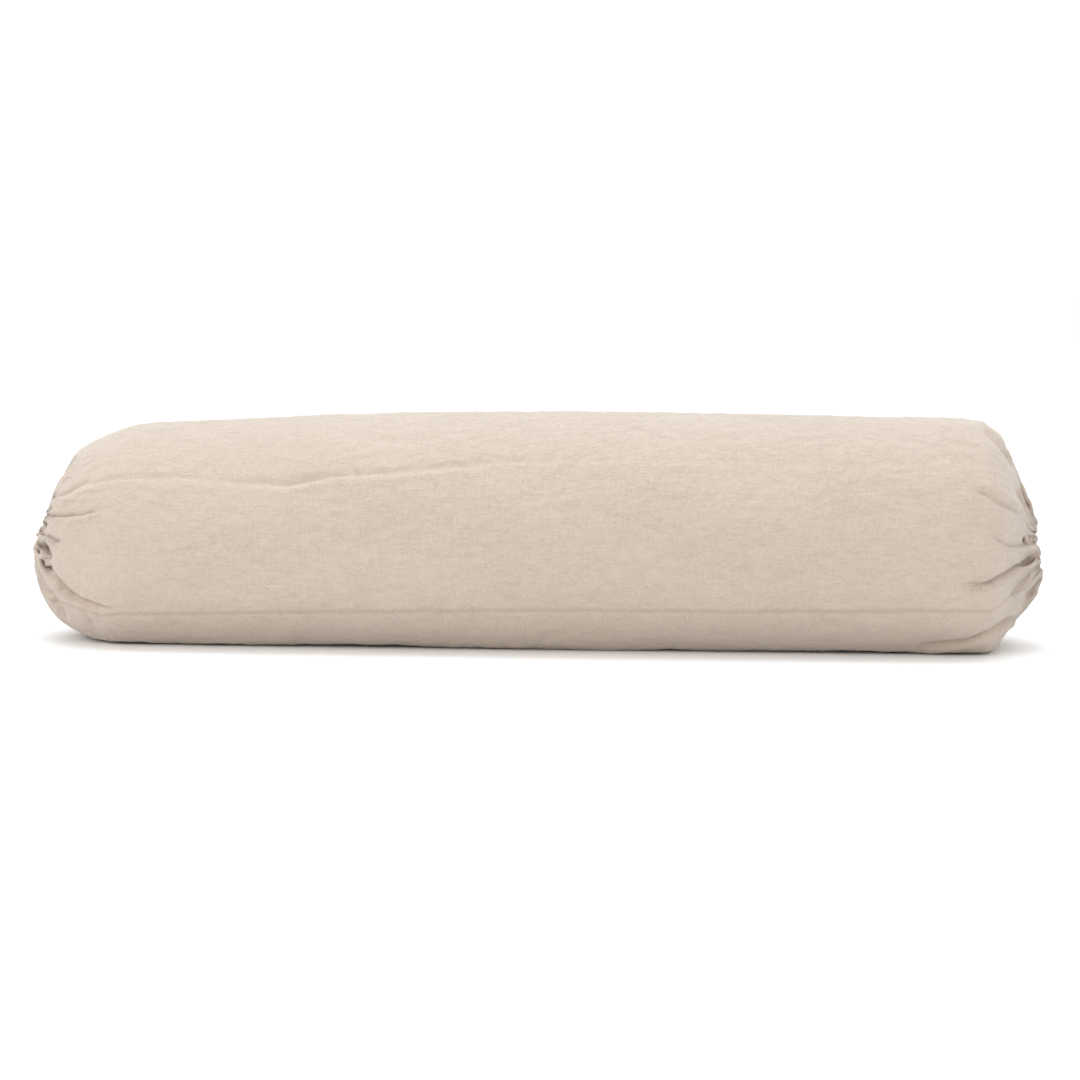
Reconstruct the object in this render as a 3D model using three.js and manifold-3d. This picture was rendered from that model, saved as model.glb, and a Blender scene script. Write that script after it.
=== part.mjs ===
// A bolster pillow lying on its side: a removable linen cover, drawn in at both ends by a cord in a
// hemmed channel, over a zipped cotton insert that holds a wadding wrap and loose fibre.
//
// Millimetres. +X runs along the bolster, +Z is up, -Y is the front. The origin is on the surface
// that the bolster lies on, under the middle of its length and width.

import * as THREE from "three";
import { mergeVertices } from "three/addons/utils/BufferGeometryUtils.js";
import Module from "manifold-3d";

const wasm = await Module();
wasm.setup();

// ---------------------------------------------------------------- driving dimensions

const LENGTH = 1000; // over both gathered ends
const WIDTH = 250;
const HEIGHT = 228;
const FLAT_DEPTH = 8; // how far the round section is pressed flat underneath
const DOME_DEPTH = 60; // from the rim of the insert to the tip of the gathered end
const INSERT_DOME_DEPTH = 43; // the insert's own end is flatter, behind the bunched cloth
const DOME_ROUNDNESS = 0.75; // 0.5 would be an ellipse; more is closer to a cone
const GATHER_HEIGHT = 88; // the filling sags, so the ends close below the middle

const GAP = 0.3; // between pieces that touch
const COVER_THICKNESS = 1;
const CASING_THICKNESS = 1;
const SEAM_THICKNESS = 1.4; // folded allowances
const WADDING_THICKNESS = 12;

const CORD_RADIUS = 2.2;
const CORD_RING_RADIUS = 17; // the drawn-in loop of cord
const CHANNEL_BORE = 2.7; // inside radius of the hem channel
const CHANNEL_RADIUS = 5.5; // outside radius, with its cloth bunched up
const CHANNEL_SLIT = 0.5; // half angle of its open seam, in radians

const AROUND = 36; // facets round a section
const DOME_STEPS = 6;
const RING_STEPS = 24; // facets round the drawn-in ring
const TUBE_SIDES = 8;

const SEAM_TURN = 21.7; // the cover's long seam, low in front, in facets round from the back
const SEAM_FACETS = 0.5; // the width of its folded allowance
const SEAM_LENGTH = 870;
const END_ALLOWANCE = 10;

const ZIP_LENGTH = 500;
const ZIP_TRAVEL = 460;
const TAPE_WIDTH = 14;
const TAPE_THICKNESS = 0.6;
const COIL_WIDTH = 2.6;
const COIL_HEIGHT = 1.8;
const ZIP_HALF_GAP = 0.8; // the slider's web runs between the two tapes
const ZIP_SLOT = 13; // the opening in the casing over the coils
const SLIDER_LENGTH = 12;
const SLIDER_WIDTH = 9;
const PLATE_THICKNESS = 1;
const WEB_THICKNESS = 0.8;
const STOP_LENGTH = 3;

// ---------------------------------------------------------------- derived sizes

const RIM = LENGTH / 2 - DOME_DEPTH;
const HALF_WIDTH = WIDTH / 2;
const HALF_HEIGHT = (HEIGHT + FLAT_DEPTH) / 2;
const SECTION_CENTRE = HEIGHT - HALF_HEIGHT;
const MOUTH_SCALE = (CORD_RING_RADIUS + CHANNEL_RADIUS + GAP) / HALF_HEIGHT;
const RING_X = LENGTH / 2 - CHANNEL_RADIUS;

const SEAM_INSET = COVER_THICKNESS + GAP;
const CASING_INSET = SEAM_INSET + SEAM_THICKNESS + GAP;
const ALLOWANCE_INSET = CASING_INSET + CASING_THICKNESS + GAP;
const WADDING_INSET = ALLOWANCE_INSET + SEAM_THICKNESS + GAP;
const CORE_INSET = WADDING_INSET + WADDING_THICKNESS + GAP;

const TAPE_OUTER = HALF_WIDTH - ALLOWANCE_INSET - 1.2; // the tapes' outer face, behind the casing
const COIL_OUTER = TAPE_OUTER + COIL_HEIGHT;
const ZIP_BED = TAPE_OUTER - TAPE_THICKNESS - GAP - PLATE_THICKNESS - GAP;

// ---------------------------------------------------------------- shapes

/** The geometry with its doubled vertices merged, and its faces pointing outwards. */
function tidied(geometry) {
  const bare = geometry.clone();
  bare.deleteAttribute("normal");
  bare.deleteAttribute("uv");
  return facingOut(mergeVertices(bare, 1e-4));
}

/** A closed mesh's vertices and triangles as a manifold solid. */
function solidOf(geometry) {
  const merged = tidied(geometry);
  return new wasm.Manifold(
    new wasm.Mesh({
      numProp: 3,
      vertProperties: new Float32Array(merged.attributes.position.array),
      triVerts: new Uint32Array(merged.index.array),
    }),
  );
}

/** A manifold solid as a three.js geometry. */
function geometryOf(solid) {
  const mesh = solid.getMesh();
  const geometry = new THREE.BufferGeometry();
  geometry.setAttribute("position", new THREE.BufferAttribute(mesh.vertProperties, 3));
  geometry.setIndex(new THREE.BufferAttribute(mesh.triVerts, 1));
  geometry.computeVertexNormals();
  return geometry;
}

/** The solids of several geometries joined into one geometry. */
function joined(geometries) {
  return geometryOf(geometries.map(solidOf).reduce((all, next) => all.add(next)));
}

/** One geometry with others cut out of it. */
function cut(geometry, cutters) {
  return geometryOf(cutters.map(solidOf).reduce((left, cutter) => left.subtract(cutter), solidOf(geometry)));
}

/** A box given by its lowest and highest corners. */
function block(low, high) {
  const size = high.map((value, axis) => value - low[axis]);
  const middle = high.map((value, axis) => (value + low[axis]) / 2);
  return new THREE.BoxGeometry(...size).translate(...middle);
}

/** A point of the section at an angle, inset from the outside, scaled towards the gathered centre. */
function sectionPoint(x, angle, inset, scale) {
  const y = (HALF_WIDTH - inset) * Math.cos(angle);
  const z = Math.max(inset, SECTION_CENTRE + (HALF_HEIGHT - inset) * Math.sin(angle));
  const round = THREE.MathUtils.smoothstep(1 - scale, 0, 0.65);
  const circleY = (HALF_HEIGHT - inset) * Math.cos(angle);
  const circleZ = (HALF_HEIGHT - inset) * Math.sin(angle);
  return new THREE.Vector3(
    x,
    scale * THREE.MathUtils.lerp(y, circleY, round),
    GATHER_HEIGHT + scale * THREE.MathUtils.lerp(z - GATHER_HEIGHT, circleZ, round),
  );
}

/** One ring of points round the section. */
function section(x, inset, scale = 1) {
  const ring = [];
  for (let i = 0; i < AROUND; i++) {
    ring.push(sectionPoint(x, (2 * Math.PI * i) / AROUND, inset, scale));
  }
  return ring;
}

/** Rings from the rim out over a domed end, down to a smallest scale. side is 1 or -1. */
function dome(side, inset, depth, smallest, start = RIM) {
  const furthest = Math.sqrt(1 - smallest ** (1 / DOME_ROUNDNESS));
  const rings = [];
  for (let i = 0; i <= DOME_STEPS; i++) {
    const share = furthest * Math.sin((i / DOME_STEPS) * (Math.PI / 2));
    const scale = (1 - share ** 2) ** DOME_ROUNDNESS;
    rings.push(section(side * (start + (depth - inset) * share), inset, scale));
  }
  return rings;
}

/** Rings of points joined into one closed body, either looped back to the first ring or capped. */
function loft(rings, looped) {
  const count = rings[0].length;
  const points = rings.flat();
  const faces = [];
  const bands = looped ? rings.length : rings.length - 1;
  for (let band = 0; band < bands; band++) {
    const here = band * count;
    const next = ((band + 1) % rings.length) * count;
    for (let i = 0; i < count; i++) {
      const j = (i + 1) % count;
      faces.push(here + i, here + j, next + j, here + i, next + j, next + i);
    }
  }
  if (!looped) {
    const ends = [
      [0, false],
      [(rings.length - 1) * count, true],
    ];
    for (const [first, forwards] of ends) {
      const middle = new THREE.Vector3();
      for (let i = 0; i < count; i++) middle.addScaledVector(points[first + i], 1 / count);
      const hub = points.push(middle) - 1;
      for (let i = 0; i < count; i++) {
        const a = first + i;
        const b = first + ((i + 1) % count);
        faces.push(...(forwards ? [a, b, hub] : [b, a, hub]));
      }
    }
  }
  return facingOut(new THREE.BufferGeometry().setFromPoints(points).setIndex(faces));
}

/** The geometry with its faces turned round if they point inwards. */
function facingOut(geometry) {
  const { position } = geometry.attributes;
  const index = geometry.index.array;
  const corner = (i) => new THREE.Vector3().fromBufferAttribute(position, index[i]);
  let volume = 0;
  for (let i = 0; i < index.length; i += 3) {
    volume += corner(i).dot(corner(i + 1).cross(corner(i + 2)));
  }
  if (volume < 0) {
    for (let i = 0; i < index.length; i += 3) {
      [index[i + 1], index[i + 2]] = [index[i + 2], index[i + 1]];
    }
  }
  geometry.computeVertexNormals();
  return geometry;
}

/** A point on the flat facets of the section; turn is counted in facets. */
function facetPoint(x, turn, inset) {
  const corner = (whole) => sectionPoint(x, (2 * Math.PI * whole) / AROUND, inset, 1);
  const before = Math.floor(turn);
  return corner(before).lerp(corner(before + 1), turn - before);
}

/** A strip between two insets, over a stretch of length and across the listed turns. */
function strip(x0, x1, turns, inset0, inset1) {
  const rings = turns.map((turn) => [
    facetPoint(x0, turn, inset0),
    facetPoint(x1, turn, inset0),
    facetPoint(x1, turn, inset1),
    facetPoint(x0, turn, inset1),
  ]);
  return loft(rings, false);
}

/** A tube of cloth thickness round the straight part of the section. */
function sleeve(halfLength, inset, thickness) {
  return loft(
    [
      section(-halfLength, inset),
      section(halfLength, inset),
      section(halfLength, inset + thickness),
      section(-halfLength, inset + thickness),
    ],
    true,
  );
}

/** A round bar along a curve. */
function bar(curve, radius, steps) {
  const outline = new THREE.Shape();
  for (let i = 0; i < TUBE_SIDES; i++) {
    const angle = (2 * Math.PI * i) / TUBE_SIDES;
    outline[i ? "lineTo" : "moveTo"](radius * Math.cos(angle), radius * Math.sin(angle));
  }
  return new THREE.ExtrudeGeometry(outline, { steps, extrudePath: curve, bevelEnabled: false });
}

// ---------------------------------------------------------------- the cover

/** The linen panel: one sheet wrapped into a tube, closing to a small mouth at each end. */
function coverPanel() {
  const skin = (inset) => [
    ...dome(-1, inset, DOME_DEPTH, MOUTH_SCALE).reverse(),
    ...dome(1, inset, DOME_DEPTH, MOUTH_SCALE),
  ];
  return loft([...skin(0), ...skin(COVER_THICKNESS).reverse()], true);
}

/** The folded allowance of the cover's long seam, lying flat against its inside. */
function longSeam() {
  const turns = [SEAM_TURN, Math.ceil(SEAM_TURN), SEAM_TURN + SEAM_FACETS];
  return strip(-SEAM_LENGTH / 2, SEAM_LENGTH / 2, turns, SEAM_INSET, SEAM_INSET + SEAM_THICKNESS);
}

/** The care label, sewn into the long seam and lying inside the cover. */
function careLabel() {
  const start = SEAM_TURN + SEAM_FACETS + 0.02;
  return strip(350, 385, [start, Math.ceil(start), start + 1.6], SEAM_INSET, SEAM_INSET + 0.7);
}

/** The hemmed channel, bunched up on its cord, with the open seam of the hem turned inwards. */
function hemChannel(side) {
  const profile = [];
  const steps = 10;
  const first = Math.PI + CHANNEL_SLIT;
  const last = 3 * Math.PI - CHANNEL_SLIT;
  for (const [radius, forwards] of [
    [CHANNEL_RADIUS, true],
    [CHANNEL_BORE, false],
  ]) {
    for (let i = 0; i <= steps; i++) {
      const angle = THREE.MathUtils.lerp(first, last, (forwards ? i : steps - i) / steps);
      profile.push(
        new THREE.Vector2(CORD_RING_RADIUS + radius * Math.cos(angle), radius * Math.sin(angle)),
      );
    }
  }
  profile.push(profile[0].clone());
  return onEnd(new THREE.LatheGeometry(profile, RING_STEPS), side);
}

/** The loop of cord in the channel. */
function drawcord(side) {
  return onEnd(
    new THREE.TorusGeometry(CORD_RING_RADIUS, CORD_RADIUS, TUBE_SIDES, RING_STEPS).rotateX(Math.PI / 2),
    side,
  );
}

/** The cord's knot and its two tails, curled up in the mouth inside the ring. */
function cordKnot(side) {
  const knot = new THREE.SphereGeometry(3.6, 10, 8).scale(1.3, 0.9, 1).translate(0, 0, -5.6);
  const tails = [-1, 1].map((way) => {
    const curve = new THREE.CatmullRomCurve3([
      new THREE.Vector3(way * 1.6, 0, -5.6),
      new THREE.Vector3(way * 6, -0.6, -5.4),
      new THREE.Vector3(way * 8, -1.4, -0.5),
      new THREE.Vector3(way * 6.4, -2.2, 4.4),
      new THREE.Vector3(way * 2.7, -2.6, 6.6),
    ]);
    return bar(curve, CORD_RADIUS - 0.3, 12);
  });
  return onEnd(joined([knot, ...tails]), side);
}

/** Stands a shape made round the Y axis, facing +Y, on one end of the bolster. */
function onEnd(geometry, side) {
  return tidied(geometry)
    .rotateZ((-side * Math.PI) / 2)
    .translate(side * RING_X, 0, GATHER_HEIGHT);
}

// ---------------------------------------------------------------- the insert

/** The cotton casing's tube, slotted at the back for the zip. */
function casingTube() {
  const slot = block(
    [-ZIP_LENGTH / 2, 0, SECTION_CENTRE - ZIP_SLOT / 2],
    [ZIP_LENGTH / 2, WIDTH, SECTION_CENTRE + ZIP_SLOT / 2],
  );
  return cut(sleeve(RIM, CASING_INSET, CASING_THICKNESS), [slot]);
}

/** A round end panel of the casing, pushed out by the filling. */
function endPanel(side) {
  const start = RIM + GAP;
  const outer = dome(side, CASING_INSET, INSERT_DOME_DEPTH, 0.03, start);
  const inner = dome(side, CASING_INSET + CASING_THICKNESS, INSERT_DOME_DEPTH, 0.03, start);
  return loft([...outer.reverse(), ...inner], false);
}

/** The allowance of the seam round an end panel, turned in under the tube. */
function endSeam(side) {
  const rings = [
    section(side * (RIM - END_ALLOWANCE), ALLOWANCE_INSET),
    section(side * RIM, ALLOWANCE_INSET),
    section(side * RIM, ALLOWANCE_INSET + SEAM_THICKNESS),
    section(side * (RIM - END_ALLOWANCE), ALLOWANCE_INSET + SEAM_THICKNESS),
  ];
  return loft(rings, true);
}

/** The wadding rolled round the core, with a bed pressed into it for the zip. */
function waddingWrap() {
  const bed = block(
    [-ZIP_LENGTH / 2 - 1, ZIP_BED, SECTION_CENTRE - TAPE_WIDTH - 2],
    [ZIP_LENGTH / 2 + 1, WIDTH, SECTION_CENTRE + TAPE_WIDTH + 2],
  );
  return cut(sleeve(RIM - GAP, WADDING_INSET, WADDING_THICKNESS), [bed]);
}

/** The loose fibre in the middle. */
function fibreCore() {
  return loft([section(-RIM + GAP, CORE_INSET), section(RIM - GAP, CORE_INSET)], false);
}

/** The loose fibre that rounds out an end panel. */
function endFill(side) {
  const inset = CASING_INSET + CASING_THICKNESS + GAP;
  return loft(dome(side, inset, INSERT_DOME_DEPTH, 0.05, RIM + GAP), false);
}

// ---------------------------------------------------------------- the insert's zip

/** A shape turned over to its own side of the zip; way is 1 for the upper and -1 for the lower. */
function onSide(geometry, way) {
  return tidied(geometry.applyMatrix4(new THREE.Matrix4().makeScale(1, 1, way)));
}

/** One zip tape. */
function zipTape(way) {
  const tape = block(
    [-ZIP_LENGTH / 2 + 0.5, TAPE_OUTER - TAPE_THICKNESS, ZIP_HALF_GAP],
    [ZIP_LENGTH / 2 - 0.5, TAPE_OUTER, ZIP_HALF_GAP + TAPE_WIDTH],
  );
  return onSide(tape, way).translate(0, 0, SECTION_CENTRE);
}

/** One nylon coil, sewn along the inner edge of its tape. */
function zipCoil(way) {
  const outline = new THREE.Shape();
  outline.moveTo(0, GAP);
  outline.lineTo(COIL_WIDTH, GAP);
  outline.lineTo(COIL_WIDTH, COIL_HEIGHT * 0.6);
  outline.lineTo(COIL_WIDTH * 0.75, COIL_HEIGHT);
  outline.lineTo(COIL_WIDTH * 0.25, COIL_HEIGHT);
  outline.lineTo(0, COIL_HEIGHT * 0.6);
  const length = ZIP_TRAVEL + SLIDER_LENGTH + 2;
  const coil = new THREE.ExtrudeGeometry(outline, { depth: length, bevelEnabled: false })
    .rotateY(Math.PI / 2)
    .scale(1, 1, -1)
    .translate(-length / 2, TAPE_OUTER, ZIP_HALF_GAP);
  return onSide(coil, way).translate(0, 0, SECTION_CENTRE);
}

/** A crimped stop at one end of a coil; the lower end's stop spans both tapes. */
function zipStop(side, low, high) {
  const inner = (ZIP_TRAVEL + SLIDER_LENGTH + 2) / 2 + GAP;
  const [x0, x1] = [side * inner, side * (inner + STOP_LENGTH)].sort((a, b) => a - b);
  return block([x0, TAPE_OUTER + GAP, SECTION_CENTRE + low], [x1, COIL_OUTER, SECTION_CENTRE + high]);
}

/** The slider: two plates with turned-in flanges, joined by a web between the tapes. */
function zipSlider() {
  const outline = new THREE.Shape();
  const half = SLIDER_WIDTH / 2;
  outline.moveTo(-SLIDER_LENGTH / 2, -half + 1.5);
  outline.lineTo(-SLIDER_LENGTH / 2 + 3, -half + 1.5);
  outline.lineTo(SLIDER_LENGTH / 2 - 4, -half);
  outline.quadraticCurveTo(SLIDER_LENGTH / 2, -half, SLIDER_LENGTH / 2, 0);
  outline.quadraticCurveTo(SLIDER_LENGTH / 2, half, SLIDER_LENGTH / 2 - 4, half);
  outline.lineTo(-SLIDER_LENGTH / 2 + 3, half - 1.5);
  outline.lineTo(-SLIDER_LENGTH / 2, half - 1.5);
  const plate = (y) =>
    new THREE.ExtrudeGeometry(outline, { depth: PLATE_THICKNESS, bevelEnabled: false, curveSegments: 4 })
      .rotateX(Math.PI / 2)
      .translate(0, y + PLATE_THICKNESS, 0);
  const top = COIL_OUTER + GAP;
  const bottom = TAPE_OUTER - TAPE_THICKNESS - GAP - PLATE_THICKNESS;
  const web = block([-2.5, bottom + 0.2, -WEB_THICKNESS / 2], [1.5, top + 0.2, WEB_THICKNESS / 2]);
  const flanges = [-1, 1].map((way) =>
    onSide(block([-2, top - 0.9, ZIP_HALF_GAP + COIL_WIDTH + 0.3], [3, top + 0.2, half]), way),
  );
  return joined([plate(top), plate(bottom), web, ...flanges]).translate(ZIP_TRAVEL / 2, 0, SECTION_CENTRE);
}

// ---------------------------------------------------------------- assembly

const LINEN = new THREE.MeshStandardMaterial({ color: 0xd8c7b7, roughness: 0.95, metalness: 0 });
const LINEN_CORD = new THREE.MeshStandardMaterial({ color: 0xe0d2c2, roughness: 0.95, metalness: 0 });
const COTTON = new THREE.MeshStandardMaterial({ color: 0xece7dd, roughness: 0.95, metalness: 0 });
const WADDING = new THREE.MeshStandardMaterial({ color: 0xf4f3ef, roughness: 1, metalness: 0 });
const LABEL = new THREE.MeshStandardMaterial({ color: 0xf2efe8, roughness: 0.6, metalness: 0 });
const NYLON = new THREE.MeshStandardMaterial({ color: 0xe6e0d4, roughness: 0.5, metalness: 0 });
const ZINC = new THREE.MeshStandardMaterial({ color: 0xb9b7b2, roughness: 0.35, metalness: 1 });

const bolster = new THREE.Group();

function add(name, geometry, material) {
  const mesh = new THREE.Mesh(geometry, material);
  mesh.name = name;
  bolster.add(mesh);
}

add("cover_panel", coverPanel(), LINEN);
add("cover_long_seam", longSeam(), LINEN);
add("care_label", careLabel(), LABEL);
for (const [end, side] of [
  ["left", -1],
  ["right", 1],
]) {
  add(`${end}_hem_channel`, hemChannel(side), LINEN);
  add(`${end}_drawcord`, drawcord(side), LINEN_CORD);
  add(`${end}_cord_knot`, cordKnot(side), LINEN_CORD);
  add(`${end}_end_panel`, endPanel(side), COTTON);
  add(`${end}_end_seam`, endSeam(side), COTTON);
  add(`${end}_end_fill`, endFill(side), WADDING);
}
add("casing_tube", casingTube(), COTTON);
add("wadding_wrap", waddingWrap(), WADDING);
add("fibre_core", fibreCore(), WADDING);
for (const [place, way] of [
  ["lower", -1],
  ["upper", 1],
]) {
  add(`zip_${place}_tape`, zipTape(way), COTTON);
  add(`zip_${place}_coil`, zipCoil(way), NYLON);
  const [low, high] = [way * ZIP_HALF_GAP, way * (ZIP_HALF_GAP + COIL_WIDTH)].sort((a, b) => a - b);
  add(`zip_${place}_top_stop`, zipStop(1, low, high), ZINC);
}
add("zip_bottom_stop", zipStop(-1, -ZIP_HALF_GAP - COIL_WIDTH, ZIP_HALF_GAP + COIL_WIDTH), ZINC);
add("zip_slider", zipSlider(), ZINC);

export default bolster;
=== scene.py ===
"""The looks of a linen bolster pillow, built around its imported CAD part.

The cover is one straight tube of cloth that a simulation drapes over the insert, from a start in which
both ends are already drawn in to their pleats. All lengths are in metres.
"""

import math

import bmesh
import bpy
import numpy as np
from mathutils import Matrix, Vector
from mathutils.bvhtree import BVHTree


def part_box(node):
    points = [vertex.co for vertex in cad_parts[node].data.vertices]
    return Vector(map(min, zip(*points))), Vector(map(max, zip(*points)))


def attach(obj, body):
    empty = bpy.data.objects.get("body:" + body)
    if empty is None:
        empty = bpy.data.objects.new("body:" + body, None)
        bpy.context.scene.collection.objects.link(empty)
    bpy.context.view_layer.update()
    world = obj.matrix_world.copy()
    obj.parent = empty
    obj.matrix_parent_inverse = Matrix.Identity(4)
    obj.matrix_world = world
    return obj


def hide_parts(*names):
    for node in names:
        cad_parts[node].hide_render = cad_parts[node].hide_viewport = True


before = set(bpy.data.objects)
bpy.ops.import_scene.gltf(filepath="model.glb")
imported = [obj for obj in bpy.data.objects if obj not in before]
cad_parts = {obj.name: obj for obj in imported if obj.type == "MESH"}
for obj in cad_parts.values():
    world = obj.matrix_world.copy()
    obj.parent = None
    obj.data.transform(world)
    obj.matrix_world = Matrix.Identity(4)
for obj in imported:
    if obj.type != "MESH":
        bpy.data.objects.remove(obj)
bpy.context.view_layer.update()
ZIP_HEIGHT = (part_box("zip_slider")[0][2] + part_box("zip_slider")[1][2]) / 2

# ---------------------------------------------------------------- sizes

RNG = np.random.default_rng(11)

GIRTH = 0.770  # the cloth tube's circumference, a little more than the insert's
AROUND = 152  # cloth cells round the tube
BODY_ROWS = 88
SHARPEN_STEPS = 14
FLAT_DEPTH = 0.016  # how far the round section is pressed flat underneath
WIDE = 1.03  # depth over height of the section
ELEVATION = math.radians(6)  # the camera looks down this much
AZIMUTH = math.radians(5)  # stands this far round to the right
DISTANCE = 2.94  # and this far off
AIM = Vector((0.0099, -0.0197, 0.1022))
AIM_HEIGHT = 0.0998  # the aim above the underside's front edge, as the camera sees it

# top and bottom of the outline along the body, then outwards over each end to its drawn-in mouth
BODY = [
    (-0.400, 0.2100, 0.0010), (-0.381, 0.2138, 0.0005), (-0.331, 0.2160, 0.0),
    (-0.230, 0.2205, 0.0), (-0.130, 0.2240, 0.0), (-0.031, 0.2262, 0.0), (0.067, 0.2269, 0.0),
    (0.165, 0.2258, 0.0), (0.263, 0.2246, 0.0), (0.360, 0.2238, 0.0), (0.408, 0.2222, 0.0),
    (0.436, 0.2203, 0.0),
]
LEFT = [
    (-0.400, 0.2100, 0.0010), (-0.430, 0.1995, 0.0020), (-0.450, 0.1905, 0.0040),
    (-0.464, 0.1775, 0.0085), (-0.474, 0.1630, 0.0150), (-0.483, 0.1470, 0.0260),
    (-0.4895, 0.1350, 0.0390), (-0.4935, 0.1250, 0.0530), (-0.4940, 0.1185, 0.0640),
    (-0.4895, 0.1150, 0.0716),
]
RIGHT = [
    (0.436, 0.2203, 0.0), (0.4465, 0.2140, 0.0010), (0.4565, 0.2055, 0.0060),
    (0.4665, 0.1920, 0.0145), (0.4765, 0.1715, 0.0240), (0.4865, 0.1515, 0.0330),
    (0.4930, 0.1385, 0.0440), (0.4975, 0.1265, 0.0560), (0.4980, 0.1200, 0.0660),
    (0.4935, 0.1165, 0.0731),
]
LEFT_CLOTH = 0.152  # length of cloth over each end
RIGHT_CLOTH = 0.130
LEFT_ROWS = 35
RIGHT_ROWS = 30
SLACK = 1.012  # how much wider the cover is than what it holds
GATHERED = 0.55  # how much wider than its ring the cloth is at the mouth; finer puckers take up the rest
MOUTH_RADIUS = 0.0217
THREAD_PITCH = 0.0007
LAY_LENGTH = 0.0075  # one turn of a cord's strands
CASING_END = 0.437  # where the insert's end panels are sewn in, to the left and to the right
SLOT_HALF_LENGTH, SLOT_HALF_WIDTH = 0.25, 0.0064

# each tuck: its way over the end (share of the way out, degrees up from the front), where it starts,
# and its share of the fullness
LEFT_TUCKS = [
    ([(0.2, -95), (1.0, -72)], 0.40, 0.9),
    ([(0.2, -70), (0.45, -60), (0.7, -50), (1.0, -45)], 0.35, 1.0),
    ([(0.0, -45), (0.14, -42), (0.23, -37), (0.31, -31), (0.43, -17), (0.63, -5), (1.0, -2)], 0.15, 1.5),
    ([(0.3, 1), (0.43, 9), (0.63, 20), (1.0, 22)], 0.40, 1.1),
    ([(0.0, 21), (0.3, 24), (0.57, 38), (1.0, 45)], 0.35, 1.0),
    ([(0.0, 44), (0.26, 44), (0.4, 46), (0.6, 57), (1.0, 68)], 0.15, 1.3),
    ([(0.2, 75), (0.5, 73), (1.0, 90)], 0.35, 1.0),
    ([(0.2, 100), (1.0, 110)], 0.35, 1.0),
]
RIGHT_TUCKS = [
    ([(0.2, -92), (1.0, -78)], 0.40, 0.9),
    ([(0.0, -56), (0.5, -60), (1.0, -54)], 0.20, 1.4),
    ([(0.2, -32), (0.5, -30), (1.0, -30)], 0.45, 0.8),
    ([(0.0, -20), (0.23, -17), (0.5, -10), (0.77, -3), (1.0, 0)], 0.15, 1.5),
    ([(0.0, 2), (0.2, 3), (0.4, 7), (0.55, 14), (0.8, 24), (1.0, 26)], 0.40, 1.3),
    ([(0.0, 44), (0.3, 45), (0.67, 50), (1.0, 52)], 0.15, 1.3),
    ([(0.2, 66), (0.6, 69), (1.0, 76)], 0.45, 0.9),
    ([(0.0, 95), (0.2, 90), (0.5, 92), (1.0, 102)], 0.20, 1.3),
]
BACK_TUCKS = 8

SEAM_TURN = math.radians(-29.9)  # the cover's long seam, low in front
SEAM_TWIST = math.radians(7.5)  # it climbs a little to the right, per metre

# ---------------------------------------------------------------- helpers


def smoothstep(low, high, value):
    share = np.clip((value - low) / (high - low), 0, 1)
    return share * share * (3 - 2 * share)


def spline(points, count):
    """Points evenly spaced along a smooth curve through the given ones."""
    points = np.array(points, float)
    padded = np.vstack([2 * points[0] - points[1], points, 2 * points[-1] - points[-2]])
    fine = []
    for i in range(1, len(padded) - 2):
        a, b, c, d = padded[i - 1 : i + 3]
        square, cube = 2 * a - 5 * b + 4 * c - d, 3 * b - a - 3 * c + d
        for u in np.linspace(0, 1, 24, endpoint=False):
            fine.append(0.5 * (2 * b + (c - a) * u + square * u**2 + cube * u**3))
    fine.append(points[-1])
    fine = np.array(fine)
    run = np.concatenate([[0], np.cumsum(np.linalg.norm(np.diff(fine, axis=0), axis=1))])
    even = np.linspace(0, run[-1], count)
    return np.stack([np.interp(even, run, fine[:, k]) for k in range(fine.shape[1])], axis=1)


def hump(gap, width):
    """One where gap is zero, fading to nothing over about twice the width."""
    return np.exp(-((gap / width) ** 2))


def new_object(name, points, faces):
    """A smooth-shaded mesh in the scene."""
    mesh = bpy.data.meshes.new(name)
    mesh.from_pydata(np.asarray(points).tolist(), [], faces)
    mesh.polygons.foreach_set("use_smooth", [True] * len(mesh.polygons))
    obj = bpy.data.objects.new(name, mesh)
    bpy.context.scene.collection.objects.link(obj)
    return obj


def quads(rows, around, wrap):
    """The faces between rows of points, as many in each row as wrap says."""
    faces = []
    for j in range(rows - 1):
        near, far = j * around, (j + 1) * around
        for i in range(wrap):
            k = (i + 1) % around
            faces.append((near + i, far + i, far + k, near + k))
    return faces


def grid_object(name, points, closed_around=True, uv=None):
    """A mesh from rows of points (rows, around, 3), joined round each row if it is a closed tube."""
    rows, around = points.shape[:2]
    wrap = around if closed_around else around - 1
    obj = new_object(name, points.reshape(-1, 3), quads(rows, around, wrap))
    if uv is not None:
        values = []
        for j in range(rows - 1):
            for i in range(wrap):
                for jj, ii in ((j, i), (j + 1, i), (j + 1, i + 1), (j, i + 1)):
                    values += [uv[0][jj], uv[1][ii]]
        obj.data.uv_layers.new(name="cloth").data.foreach_set("uv", values)
    return obj


def closed_object(name, rows):
    """A closed mesh from rows of points, with a pole at each end."""
    around = len(rows[0])
    faces = quads(len(rows), around, around)
    count = len(rows) * around
    last = count - around
    for i in range(around):
        k = (i + 1) % around
        faces += [(count, i, k), (count + 1, last + k, last + i)]
    poles = [np.mean(rows[0], axis=0), np.mean(rows[-1], axis=0)]
    return new_object(name, np.vstack([*rows, poles]), faces)


def round_cloth(around):
    """Places round the girth of the cloth, from one long edge to the other."""
    return np.arange(around + 1) / around * GIRTH


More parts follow.
